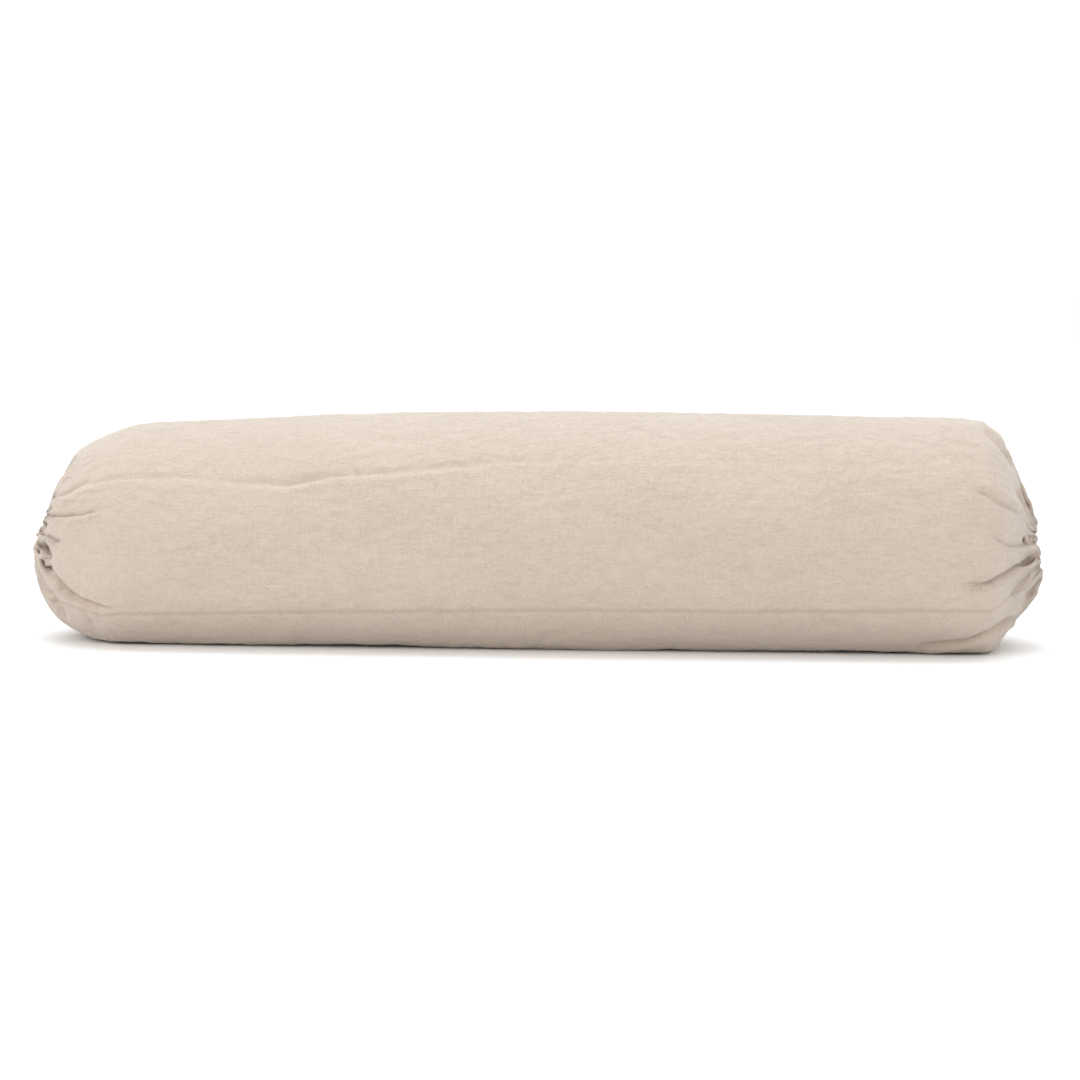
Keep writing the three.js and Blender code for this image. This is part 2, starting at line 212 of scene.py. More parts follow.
def field(u, v, cell_u, cell_v, seed):
    """Smooth random values from -1 to 1 over the cloth; they meet again round the girth."""
    grid = np.random.default_rng(seed).uniform(-1, 1, (256, 256))
    count = max(3, round(GIRTH / cell_v))
    a, b = u / cell_u + 40, v / GIRTH * count
    i, k = np.floor(a).astype(int), np.floor(b).astype(int)
    fu, fv = a - i, b - k
    fu, fv = fu * fu * (3 - 2 * fu), fv * fv * (3 - 2 * fv)

    def at(x, y):
        return grid[x % 256, y % count]

    near = at(i, k) * (1 - fu) + at(i + 1, k) * fu
    far = at(i, k + 1) * (1 - fu) + at(i + 1, k + 1) * fu
    return near * (1 - fv) + far * fv


def vectors(collection, name):
    flat = np.empty(len(collection) * 3)
    collection.foreach_get(name, flat)
    return flat.reshape(-1, 3)


def normals(obj):
    return vectors(obj.data.vertex_normals, "vector")


def positions(obj):
    return vectors(obj.data.vertices, "co")


def set_positions(obj, points):
    obj.data.vertices.foreach_set("co", np.asarray(points).reshape(-1))
    obj.data.update()


def assign(target, **values):
    for name, value in values.items():
        setattr(target, name, value)


def edge_ends(obj):
    """The vertices at the two ends of every edge."""
    ends = np.empty(len(obj.data.edges) * 2, int)
    obj.data.edges.foreach_get("vertices", ends)
    return ends.reshape(-1, 2).T


# ---------------------------------------------------------------- the cover's start shape


def stations():
    """Every row of the cover from the left mouth to the right one, as arrays."""
    left = spline(LEFT, LEFT_ROWS + 1)[::-1]
    body = spline(BODY, BODY_ROWS + 1)
    right = spline(RIGHT, RIGHT_ROWS + 1)
    rows = np.vstack([left, body[1:-1], right])
    over_left, over_right = np.linspace(-1, 0, LEFT_ROWS + 1), np.linspace(0, 1, RIGHT_ROWS + 1)
    out = np.concatenate([over_left, np.zeros(BODY_ROWS - 1), over_right])
    left_run = body[0, 0] - np.linspace(LEFT_CLOTH, 0, LEFT_ROWS + 1)
    right_run = body[-1, 0] + np.linspace(0, RIGHT_CLOTH, RIGHT_ROWS + 1)
    flat_run = np.concatenate([left_run, body[1:-1, 0], right_run])
    return rows[:, 0], rows[:, 1], rows[:, 2], out, flat_run


ROW_X, ROW_TOP, ROW_BOTTOM, ROW_OUT, ROW_RUN = stations()
ROWS = len(ROW_X)
LEFT_END = int(np.argmin(np.abs(ROW_OUT + 0.72)))  # the last rows that the insert's ends reach
RIGHT_END = int(np.argmin(np.abs(ROW_OUT - 0.72)))


def ring_frame(j, inset=0.0):
    """Half height, half depth and centre height of row j."""
    pressed = FLAT_DEPTH * (1 - smoothstep(0, 0.35, abs(ROW_OUT[j])))
    half = (ROW_TOP[j] - ROW_BOTTOM[j] + pressed) / 2 - inset
    return half, half * WIDE, ROW_TOP[j] - inset - half


def ring_girth(j):
    """Length round row j on the smooth outer shape."""
    half, depth, _ = ring_frame(j)
    return 2 * math.pi * math.sqrt((half**2 + depth**2) / 2)


def cloth_width(j):
    """Width of cloth that row j lays in visible folds; finer puckers than these take up the rest."""
    return ring_girth(j) * (SLACK + GATHERED * smoothstep(0.3, 1.0, abs(ROW_OUT[j])) ** 2)


def envelope(j, turn, inset=0.0):
    """Points of row j on the smooth outer shape; turn is the angle up from the front."""
    half, depth, centre = ring_frame(j, inset)
    lift = centre + half * np.sin(turn)
    low = ROW_BOTTOM[j] + inset
    lift = low + np.maximum(lift - low, 0)
    lean = 0.004 * smoothstep(0.5, 1.0, abs(ROW_OUT[j])) * np.sin(turn)
    x = ROW_X[j] - np.sign(ROW_OUT[j]) * lean
    return np.stack([np.broadcast_to(x, np.shape(turn)), -depth * np.cos(turn), lift], axis=-1)


def outward(j, turn):
    """Outward directions of row j at the given angles."""
    a, b = max(j - 1, 0), min(j + 1, ROWS - 1)
    run = ROW_X[b] - ROW_X[a]
    rise = ring_frame(b)[0] - ring_frame(a)[0]
    length = math.hypot(run, rise)
    radial, axial = run / length, -rise / length
    axial = np.broadcast_to(axial, np.shape(turn))
    return np.stack([axial, -radial * np.cos(turn), radial * np.sin(turn)], axis=-1)


def all_tucks(front):
    """The tucks seen from the front, and more round the back at uneven steps."""
    steps = np.cumsum(RNG.uniform(0.8, 1.2, BACK_TUCKS + 1))
    first, last = front[0][0][0][1] + 360, front[-1][0][0][1]
    tucks = list(front)
    for i in range(BACK_TUCKS):
        angle = last + (first - last) * steps[i] / steps[-1]
        tucks.append(([(0, angle), (1, angle)], RNG.uniform(0, 0.5), RNG.uniform(0.8, 1.3)))
    return tucks


def tuck_turn(path, out):
    """A tuck's angle up from the front, that far out over the end."""
    ways, degrees = zip(*path)
    return math.radians(np.interp(out, ways, degrees))


def columns(j):
    """The angle of each column of the cloth in row j; the first one is the long seam."""
    return SEAM_TURN + SEAM_TWIST * ROW_X[j] + np.arange(AROUND) / AROUND * 2 * math.pi


def give(j, turn):
    """How far the insert's surface lies inside row j; it yields more under the strongest tucks."""
    out = abs(ROW_OUT[j])
    inset = 0.0022 + 0.008 * smoothstep(0.05, 0.7, out) + np.zeros(np.shape(turn))
    for path, start, _ in TUCKS[-1 if ROW_OUT[j] < 0 else 1]:
        if start < 0.12:
            away = (turn - tuck_turn(path, out) + math.pi) % (2 * math.pi) - math.pi
            inset += 0.005 * smoothstep(0.0, 0.25, out) * hump(away, 0.09)
    return inset


def tucked_ring(j, tucks, lean):
    """Row j of the cover, with its fullness taken up in tucks: the cloth keeps its whole girth."""
    out = abs(ROW_OUT[j])
    fine = AROUND * 10
    s = np.arange(fine) / fine * 2 * math.pi
    slope = np.zeros(fine)
    widest = 0.13 + 0.085 * smoothstep(0.1, 0.95, out)
    anchors = np.array([tuck_turn(path, out) for path, _, _ in tucks]) % (2 * math.pi)
    for angle, (_, start, share), tilt in zip(anchors, tucks, lean):
        x = (s - angle + math.pi) % (2 * math.pi) - math.pi
        gaps = np.abs((anchors - angle + math.pi) % (2 * math.pi) - math.pi)
        x = x / min(widest, 0.55 * np.sort(gaps)[1])
        x = np.clip(x - tilt * (1 - np.clip(x, -1, 1) ** 2), -1, 1)
        rise = 0.25 * smoothstep(0.0, 0.4, out) + 0.75 * smoothstep(start, start + 0.45, out)
        slope += share * rise * np.sin(math.pi * x)
    smooth = 1 + (SLACK - 1) * (1 - smoothstep(0.0, 0.3, out))
    want = min(smooth * ring_girth(j) / cloth_width(j), 1.0)
    low, high = 0.0, 2.6
    for _ in range(30):
        middle = (low + high) / 2
        if np.mean(np.cos(middle * slope)) > want:
            low = middle
        else:
            high = middle
    slope = low * slope
    along = np.cumsum(np.cos(slope))
    along = along / along[-1] * 2 * math.pi
    drift = np.angle(np.mean(np.exp(1j * (along - s))))
    turn = along - drift
    rise = np.cumsum(np.sin(slope)) * cloth_width(j) / fine
    rise -= rise[-1] * s / (2 * math.pi)
    anchors = np.sort(anchors)
    wraps = [2 * math.pi] + [0] * (len(anchors) - 1)
    middles = [(anchors[i] + anchors[i - 1] + wraps[i]) / 2 for i in range(len(anchors))]
    middles = np.array(sorted(m % (2 * math.pi) for m in middles))
    levels = np.interp(middles, s, rise)
    rise = rise - np.interp(s, middles, levels, period=2 * math.pi)
    at = columns(j)
    turn = at + np.interp(at, s, turn - s, period=2 * math.pi)
    rise = np.interp(at, s, rise, period=2 * math.pi)
    room = give(j, turn) - 0.0016 + 0.014 * smoothstep(0.5, 0.8, out)
    room *= 1 - 0.6 * smoothstep(0.86, 1.0, out)
    rise = np.where(rise < 0, -room * np.tanh(-rise / room), rise)
    return envelope(j, turn) + outward(j, turn) * rise[:, None]


TUCKS = {-1: all_tucks(LEFT_TUCKS), 1: all_tucks(RIGHT_TUCKS)}
LEANS = {side: RNG.uniform(-0.5, 0.5, 20) for side in (-1, 1)}


def start_shape():
    rows = []
    for j in range(ROWS):
        side = -1 if ROW_OUT[j] < 0 else 1
        smooth = ROW_OUT[j] == 0
        rows.append(envelope(j, columns(j)) if smooth else tucked_ring(j, TUCKS[side], LEANS[side]))
    return np.array(rows)


def cloth_at_rest():
    """The cover's cloth without its tension: each column as long as its way over the ends, no folds."""
    turns = np.array([columns(j) for j in range(ROWS)])
    ways = np.array([envelope(j, turns[j]) for j in range(ROWS)])
    steps = np.linalg.norm(np.diff(ways, axis=0), axis=2) * 1.004
    radii = np.array([cloth_width(j) for j in range(ROWS)])[:, None] / (2 * math.pi)
    ahead = np.sqrt(np.maximum(steps**2 - np.diff(radii, axis=0) ** 2, (0.15 * steps) ** 2))
    x = np.vstack([np.zeros(AROUND), np.cumsum(ahead, axis=0)])
    x -= x[ROWS // 2]
    return np.stack([x, -radii * np.cos(turns), radii * np.sin(turns)], axis=-1)


# ---------------------------------------------------------------- the insert's form


def insert_row(j, turn, depth=0.0):
    """Points of the insert's surface under row j, or of a layer that deep inside it."""
    ring = envelope(j, turn) - outward(j, turn) * (give(j, turn) + depth)[:, None]
    ring[:, 0] -= np.sign(ROW_OUT[j]) * 0.008 * smoothstep(0.4, 1.0, abs(ROW_OUT[j]))
    ring[:, 2] = np.maximum(ring[:, 2], 0.0035 + depth)
    return ring


def closing_rows(ring, side):
    """Rows that close the insert's end from its last ring inwards, dished where the gather presses in."""
    middle = ring.mean(axis=0)
    rows = []
    for share, crown in ((0.75, -0.0020), (0.5, -0.0060), (0.25, -0.0080), (0.03, -0.0084)):
        row = middle + (ring - middle) * share
        row[:, 0] = middle[0] + (ring[:, 0] - middle[0]) * share + side * crown
        rows.append(row)
    return rows


def insert_form():
    """The stuffed insert that the cover lies on."""
    turn = np.arange(96) / 96 * 2 * math.pi
    rows = [insert_row(j, turn) for j in range(LEFT_END, RIGHT_END + 1)]
    return closing_rows(rows[0], -1)[::-1] + rows + closing_rows(rows[-1], 1)


# ---------------------------------------------------------------- simulation


def drape(cover, form, frames):
    """Lets the cover settle on the form, with its drawn-in ends held."""
    held = cover.vertex_groups.new(name="held")
    ends = list(range(2 * AROUND)) + list(range((ROWS - 2) * AROUND, ROWS * AROUND))
    held.add(ends, 1.0, "REPLACE")
    cover.shape_key_add(name="Basis")
    flat = cover.shape_key_add(name="flat")
    flat.data.foreach_set("co", cloth_at_rest().reshape(-1))
    flat.value = 0
    cloth = cover.modifiers.new("cloth", "CLOTH")
    assign(
        cloth.settings,
        quality=6, mass=0.25, air_damping=2, tension_stiffness=40, compression_stiffness=40,
        shear_stiffness=8, bending_stiffness=0.6, tension_damping=10, compression_damping=10,
        shear_damping=5, bending_damping=0.5, vertex_group_mass="held", pin_stiffness=1,
        rest_shape_key=flat,
    )
    assign(
        cloth.collision_settings,
        use_collision=True, distance_min=0.0012, collision_quality=3, friction=5,
        use_self_collision=True, self_distance_min=0.0012, self_friction=5,
    )
    assign(cloth.point_cache, frame_start=1, frame_end=frames)
    bpy.ops.mesh.primitive_plane_add(size=3, location=(0, 0, 0))
    ground = bpy.context.object
    for solid in (form, ground):
        solid.modifiers.new("collision", "COLLISION")
        assign(solid.collision, thickness_outer=0.0006, thickness_inner=0.02, cloth_friction=8, damping=0.5)
    scene = bpy.context.scene
    for step in range(1, frames + 1):
        scene.frame_set(step)
    settled = cover.evaluated_get(bpy.context.evaluated_depsgraph_get())
    draped = positions(settled).reshape(ROWS, AROUND, 3)
    scene.frame_set(1)
    cover.modifiers.remove(cloth)
    bpy.data.objects.remove(ground)
    return draped


def evened(points):
    """Takes the roughness out of the folds near the mouths."""
    weight = 0.5 * smoothstep(0.3, 0.6, np.abs(ROW_OUT))[1:-1, None, None]
    for _ in range(2):
        beside = np.roll(points, 1, axis=1) + np.roll(points, -1, axis=1)
        even = (beside[1:-1] + points[:-2] + points[2:]) / 4
        points = points.copy()
        points[1:-1] += weight * (even - points[1:-1])
    return points


# ---------------------------------------------------------------- materials


class Nodes:
    """Short names for building a material's nodes."""

    def __init__(self, name):
        self.material = bpy.data.materials.new(name)
        self.material.use_nodes = True
        self.tree = self.material.node_tree
        self.shader = self.tree.nodes["Principled BSDF"]

    def set(self, name, value):
        """Sets one of the shader's inputs, or links it."""
        self.join(value, self.shader.inputs[name])

    def join(self, value, socket):
        if isinstance(value, bpy.types.NodeSocket):
            self.tree.links.new(value, socket)
        else:
            socket.default_value = value

    def node(self, kind, inputs, output=0, **values):
        """Adds a node with the given inputs and returns one of its outputs."""
        node = self.tree.nodes.new(kind)
        assign(node, **values)
        for name, value in inputs.items():
            self.join(value, node.inputs[name])
        return node.outputs[output]

    def place(self):
        return self.node("ShaderNodeTexCoord", {}, "Object")

    def surface(self, roughness, specular=0.5, sheen=0.0, metallic=0.0):
        """Sets the values that are the same all over the surface."""
        self.set("Roughness", roughness)
        self.set("Specular IOR Level", specular)
        self.set("Sheen Weight", sheen)
        self.set("Metallic", metallic)

    def math(self, operation, a, b=0.0):
        return self.node("ShaderNodeMath", {0: a, 1: b}, operation=operation)

    def vector(self, operation, a, b):
        return self.node("ShaderNodeVectorMath", {0: a, 1: b}, operation=operation)

    def noise(self, source, scale, detail=2.0, roughness=0.5, output="Fac"):
        vector = self.vector("MULTIPLY", source, scale)
        inputs = {"Vector": vector, "Scale": 1.0, "Detail": detail, "Roughness": roughness}
        return self.node("ShaderNodeTexNoise", inputs, output)

    def axis(self, vector, name):
        return self.node("ShaderNodeSeparateXYZ", {0: vector}, name)

    def ramp(self, source, low, high, low_at=0.3, high_at=0.7):
        node = self.tree.nodes.new("ShaderNodeValToRGB")
        self.join(source, node.inputs[0])
        first, last = node.color_ramp.elements
        assign(first, position=low_at, color=(*low, 1))
        assign(last, position=high_at, color=(*high, 1))
        return node.outputs[0]

    def times(self, a, b):
        inputs = {0: 1.0, 6: a, 7: b}
        return self.node("ShaderNodeMix", inputs, 2, data_type="RGBA", blend_type="MULTIPLY")

    def bump(self, height, distance, under=None):
        inputs = {"Distance": distance, "Height": height}
        if under is not None:
            inputs["Normal"] = under
        return self.node("ShaderNodeBump", inputs)


def linen():
    """Washed linen: a plain weave with slubs along and across, uneven in tone, and painted shade along the
    long seam.
    """
    n = Nodes("linen")
    cloth = n.node("ShaderNodeUVMap", {}, uv_map="cloth")
    girth = n.axis(cloth, "Y")
    weft = n.math("SINE", n.math("MULTIPLY", n.axis(cloth, "X"), 2 * math.pi / THREAD_PITCH))
    warp = n.math("SINE", n.math("MULTIPLY", girth, 2 * math.pi / THREAD_PITCH))
    weave = n.math("MULTIPLY", weft, warp)
    along = n.noise(cloth, (50, 620, 1), 4, 0.65)
    across = n.noise(cloth, (560, 60, 1), 4, 0.65)
    grain = n.noise(cloth, (800, 900, 1), 3, 0.6)
    wander = n.vector("MULTIPLY", n.noise(cloth, (70, 90, 1), output="Color"), (2.2, 2.2, 0))
    creased = n.vector("ADD", n.vector("MULTIPLY", cloth, (120, 155, 1)), wander)
    crinkle = n.noise(creased, (1, 1, 1), 5, 0.66)
    mottle = n.noise(cloth, (9, 14, 1), 4, 0.6)
    base = n.ramp(mottle, (0.545, 0.451, 0.372), (0.577, 0.483, 0.404))
    slub = n.ramp(along, (0.94, 0.935, 0.93), (1.04, 1.04, 1.04), 0.28, 0.72)
    cross = n.ramp(across, (0.945, 0.942, 0.938), (1.035, 1.035, 1.035), 0.28, 0.72)
    fine = n.ramp(grain, (0.90, 0.895, 0.89), (1.07, 1.07, 1.07))
    # painted shade: a thin darker line along the long seam, standing in for the shadow that the lapped
    # seam's step casts
    seam_shade = n.math("MINIMUM", girth, n.math("SUBTRACT", GIRTH, girth))
    seam_shade = n.ramp(seam_shade, (0.86, 0.84, 0.82), (1.0, 1.0, 1.0), 0.0002, 0.0008)
    color = base
    for tone in (slub, cross, fine, seam_shade):
        color = n.times(color, tone)
    n.set("Base Color", color)
    n.surface(0.92, specular=0.2, sheen=0.65)
    n.set("Sheen Roughness", 0.35)
    n.set("Sheen Tint", (1, 0.965, 0.93, 1))
    normal = n.bump(crinkle, 0.0024)
    for height, relief in ((along, 0.0003), (across, 0.0002), (grain, 0.00025), (weave, 0.00005)):
        normal = n.bump(height, relief, normal)
    n.set("Normal", normal)
    return n.material


def plain_cloth(name, color, threads):
    """A plain fine cloth or fibre without its own cloth coordinates."""
    n = Nodes(name)
    fine = n.noise(n.place(), (threads, threads, threads), 3, 0.7)
    mottle = n.noise(n.place(), (30, 30, 30), 3, 0.6)
    low = tuple(c * 0.9 for c in color)
    high = tuple(min(1.0, c * 1.06) for c in color)
    grain = n.ramp(fine, (0.9, 0.9, 0.9), (1.04, 1.04, 1.04))
    n.set("Base Color", n.times(n.ramp(mottle, low, high), grain))
    n.surface(0.95, specular=0.2, sheen=0.2)
    n.set("Normal", n.bump(fine, 0.0004))
    return n.material


def marked(name, noise, low, high, relief, **surface):
    """A material darker and lower in places, after a noise of the given scale, detail and roughness."""
    n = Nodes(name)
    marks = n.noise(n.place(), *noise)
    n.set("Base Color", n.ramp(marks, low, high))
    n.surface(**surface)
    n.set("Normal", n.bump(marks, relief))
    return n.material


# ---------------------------------------------------------------- surface of the cover

# the long shallow groove that runs on from a tuck: along the bolster, degrees up from the front, depth
GROOVE = [
    (-0.458, 31, 0.0), (-0.442, 34, 0.0010), (-0.409, 38, 0.0014), (-0.331, 36.5, 0.0011),
    (-0.267, 33, 0.0012), (-0.223, 31, 0.0022), (-0.187, 35, 0.0018), (-0.117, 36.5, 0.0016),
    (-0.055, 39.5, 0.0018), (-0.020, 41.5, 0.0009), (0.055, 42, 0.0006), (0.123, 43.5, 0.0005),
    (0.216, 43, 0.0004), (0.310, 42, 0.0003), (0.360, 42, 0.0002), (0.415, 41, 0.0),
]
# crisp folds near the gathers as the camera sees them, in millimetres: how deep the fold is, its half
# width (below zero if its ridge is above it, and not below), the height of the ridge, and its path
# across and up the camera's view, starting at the mouth
FOLDS = [
    (7.8, 1.9, 3.2, [(-492, 99.8), (-486.1, 82.2), (-482.2, 70.4), (-473.3, 58.6), (-462.6, 47.9),
        (-450.8, 40), (-439, 35.1), (-427.3, 32.2), (-406.7, 31.2)]),
    (5.6, 1.8, 1.8, [(-454.7, 182.1), (-457.7, 179.2), (-466.5, 166.4), (-476.3, 155.7)]),
    (3, 2.3, 2, [(-488, 130.2), (-480.2, 139), (-473.3, 142.9), (-465.5, 144.9), (-450.8, 153.7),
        (-431.2, 160.6)]),
    (6, 1.7, 1.3, [(-489, 125.3), (-482.2, 129.2), (-476.3, 133.1)]),
    (3.3, 1.9, 2, [(-490, 123.3), (-470.4, 123.3), (-450.8, 124.3), (-439, 127.2), (-426.3, 130.2)]),
    (4.4, 1.7, 0.7, [(-490, 118.4), (-486.1, 115.5), (-482.2, 112.5)]),
    (4.6, 1.8, 1.4, [(-492, 109.6), (-485.1, 104.7), (-478.2, 99.8), (-468.4, 96.9)]),
    (5.8, 2.4, 1.2, [(-490, 96.9), (-486.1, 92), (-484.1, 86.1), (-482.2, 78.2)]),
    (3.3, 1.9, 1.5, [(-483.1, 52.8), (-475.3, 39), (-466.5, 26.3), (-460.6, 19.4)]),
    (5.8, -1.9, 1.8, [(468.4, 169.4), (462.6, 180.2), (453.7, 191.9), (443, 203.7), (431.2, 215.4)]),
    (6.4, -2, 2.2, [(486.1, 114.5), (480.2, 126.3), (475.3, 137), (466.5, 154.7)]),
    (3.3, -3, 2, [(427.3, 149.8), (441, 143.9), (453.7, 136.1), (464.5, 131.2), (476.3, 121.4)]),
    (7.6, 2.6, 1.8, [(491, 96.9), (484.1, 98.8), (478.2, 98.8), (472.4, 98.8)]),
    (2.4, 2.3, 1.5, [(484.1, 95.9), (470.4, 93.9), (460.6, 93.9), (450.8, 98.8), (439, 106.7)]),
    (8, 1.9, 3.2, [(490, 85.1), (480.2, 79.2), (465.5, 69.4), (450.8, 60.6), (441, 55.7),
        (429.2, 54.7), (409.6, 58.6)]),
    (2.7, 2.3, 1.5, [(492, 76.3), (480.2, 65.5), (470.4, 54.7), (458.6, 41)]),
    (2.4, 2.1, 1.3, [(494.9, 60.6), (484.1, 50.8), (472.4, 41)]),
    (7.5, 1.9, 2.5, [(468.4, 24.3), (453.7, 15.5), (441, 7.7), (426.3, 1.8), (411.6, -2.1),
        (392, -4.1), (357.7, -6)]),
]
# faint creases: both ends along the bolster and in degrees up from the front, then depth
CREASES = [
    (-0.162, 4, -0.072, 17, 0.0008), (-0.172, -10.5, -0.093, -6, 0.0007),
    (-0.174, -26, -0.089, -15, 0.0007), (-0.081, 1, 0.114, 3, 0.0007),
    (0.200, 20, 0.310, 14, 0.0006), (0.265, -8, 0.355, -3, 0.0006),
    (-0.370, -4, -0.290, 4, 0.0006), (-0.010, -20, 0.090, -15, 0.0005),
]


def cloth_places(obj):
    """Each vertex's place on the flat cloth: along it, and round its girth."""
    mesh = obj.data
    owner = np.empty(len(mesh.loops), int)
    mesh.loops.foreach_get("vertex_index", owner)
    uv = np.empty(len(mesh.loops) * 2)
    mesh.uv_layers["cloth"].data.foreach_get("uv", uv)
    places = np.zeros((len(mesh.vertices), 2))
    places[owner] = uv.reshape(-1, 2)
    return places[:, 0], places[:, 1]


def seamed(obj):
    """Brings the panel's two long edges together at the seam again."""
    u, v = cloth_places(obj)
    first, last = np.flatnonzero(v < 1e-6), np.flatnonzero(v > GIRTH - 1e-6)
    first, last = first[np.argsort(u[first])], last[np.argsort(u[last])]
    points = positions(obj)
    points[first] = points[last] = (points[first] + points[last]) / 2
    set_positions(obj, points)


def round_gap(u, v, turn):
    """Distance round the girth from an angle up from the front."""
    gap = SEAM_TURN + SEAM_TWIST * u + v / GIRTH * 2 * math.pi - turn
    return ((gap + math.pi) % (2 * math.pi) - math.pi) / (2 * math.pi) * GIRTH


def view_axes():
    """The camera's directions to the right, upwards and forwards."""
    right = Vector((math.cos(AZIMUTH), math.sin(AZIMUTH), 0))
    level = math.cos(ELEVATION)
    forward = Vector((-math.sin(AZIMUTH) * level, math.cos(AZIMUTH) * level, -math.sin(ELEVATION)))
    return right, right.cross(forward), forward


def as_seen(points):
    """Points as the camera sees them: across, and up from the middle of the underside's front edge."""
    right, up, forward = (np.array(way) for way in view_axes())
    away = points - np.array(AIM)
    nearer = DISTANCE / (DISTANCE + away @ forward)
    return away @ right * nearer, AIM_HEIGHT + away @ up * nearer


def beside(x, y, path):
    """Distance from a path (positive on its upper side) and the share of it passed, for each point."""
    path = spline(path, 40)
    best = np.full(len(x), 1.0)
    signed = np.full(len(x), 1.0)
    share = np.zeros(len(x))
    for k in range(len(path) - 1):
        ax, ay = path[k]
        dx, dy = path[k + 1] - path[k]
        t = np.clip(((x - ax) * dx + (y - ay) * dy) / (dx * dx + dy * dy), 0, 1)
        gx, gy = x - ax - t * dx, y - ay - t * dy
        gap = np.hypot(gx, gy)
        nearer = gap < best
        sign = np.where((dx * gy - dy * gx) >= 0, 1.0, -1.0)
        best = np.where(nearer, gap, best)
        signed = np.where(nearer, gap * sign, signed)
        share = np.where(nearer, (k + t) / (len(path) - 1), share)
    return signed, share


def folded(obj):
    """Lays the crisp folds near the gathers: the cloth dives in above each line, beside a ridge."""
    points, ways = positions(obj), normals(obj)
    x, y = as_seen(points)
    facing = smoothstep(0.0, 0.15, -ways @ np.array(view_axes()[2]))
    facing *= points[:, 1] < 0.02
    lift = np.zeros(len(points))
    for depth, width, ridge, path in FOLDS:
        depth, width, ridge, path = depth / 1000, width / 1000, ridge / 1000, np.array(path) / 1000
        gap, share = beside(x, y, path)
        if path[-1][0] < path[0][0]:
            gap = -gap
        gap = gap * np.sign(width)
        width = abs(width)
        fade = smoothstep(0, 0.08, share) * smoothstep(1.0, 0.7, share)
        dive = smoothstep(-width, width, gap) * np.exp(-np.maximum(gap, 0) / (4 * width))
        lift -= depth * fade * (hump(gap, width) + 0.3 * dive)
        lift += ridge * fade * hump(gap + 1.9 * width, 1.4 * width)
    set_positions(obj, points + ways * (lift * facing)[:, None])


def sharpened(obj):
    """Deepens the folds over both ends, their valleys more than their ridges."""
    points, ways = positions(obj), normals(obj)
    a, b = edge_ends(obj)
    count = np.bincount(a, minlength=len(points)) + np.bincount(b, minlength=len(points))
    even = points.copy()
    for _ in range(SHARPEN_STEPS):
        total = np.zeros_like(even)
        for k in range(3):
            total[:, k] = np.bincount(a, even[b, k], len(points)) + np.bincount(b, even[a, k], len(points))
        even += 0.6 * (total / count[:, None] - even)
    u, v = cloth_places(obj)
    stands = ((points - even) * ways).sum(axis=1)
    lift = np.where(stands < 0, 0.7 * stands, 0.2 * stands)
    where = 1 - smoothstep(-0.41, -0.38, u) * (1 - smoothstep(0.40, 0.43, u))
    # the mouths and the seam's two edges stay where they are
    where *= smoothstep(ROW_RUN[0], ROW_RUN[0] + 0.02, u)
    where *= 1 - smoothstep(ROW_RUN[-1] - 0.02, ROW_RUN[-1], u)
    where *= smoothstep(0, 0.006, v) * (1 - smoothstep(GIRTH - 0.006, GIRTH, v))
    set_positions(obj, points + ways * (np.clip(lift, -0.003, 0.0015) * where)[:, None])


def over_zip(obj, clear):
    """Lets the cover lie over the insert's zip, that far outside the slider."""
    points = positions(obj)
    low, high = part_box("zip_slider")
    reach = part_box("zip_upper_tape")[1][0]
    need = high[1] + clear
    near = 1 - smoothstep(0.014, 0.050, np.abs(points[:, 2] - ZIP_HEIGHT))
    near *= 1 - smoothstep(reach + 0.01, reach + 0.06, np.abs(points[:, 0]))
    near *= points[:, 1] > 0
    points[:, 1] += np.maximum(need - points[:, 1], 0) * near
    set_positions(obj, points)


def end_folds(u, v):
    """The folds over the back half of both ends, and the fine puckers at both mouths."""
    lift = np.zeros(len(u))
    rng = np.random.default_rng(21)
    for mouth, cloth in ((ROW_RUN[0], LEFT_CLOTH), (ROW_RUN[-1], RIGHT_CLOTH)):
        out = np.maximum(1 - np.abs(u - mouth) / cloth, -0.5)
        for i in range(9):
            turn = math.radians(108 + 18 * i + rng.uniform(-5, 5)) + rng.uniform(-0.25, 0.25) * out
            start = rng.uniform(-0.1, 0.4)
            depth = rng.uniform(0.0014, 0.0030)
            gap = round_gap(u, v, turn)
            fade = smoothstep(start, start + 0.3, out)
            lift += depth * fade * (0.6 * hump(gap + 0.0085, 0.0060) - hump(gap, 0.0040))
        waves = np.sin(56 * 2 * math.pi * v / GIRTH + 2.5 * field(u, v, 0.05, 0.06, 12))
        lift += 0.0002 * smoothstep(0.45, 0.95, out) * waves
    return lift


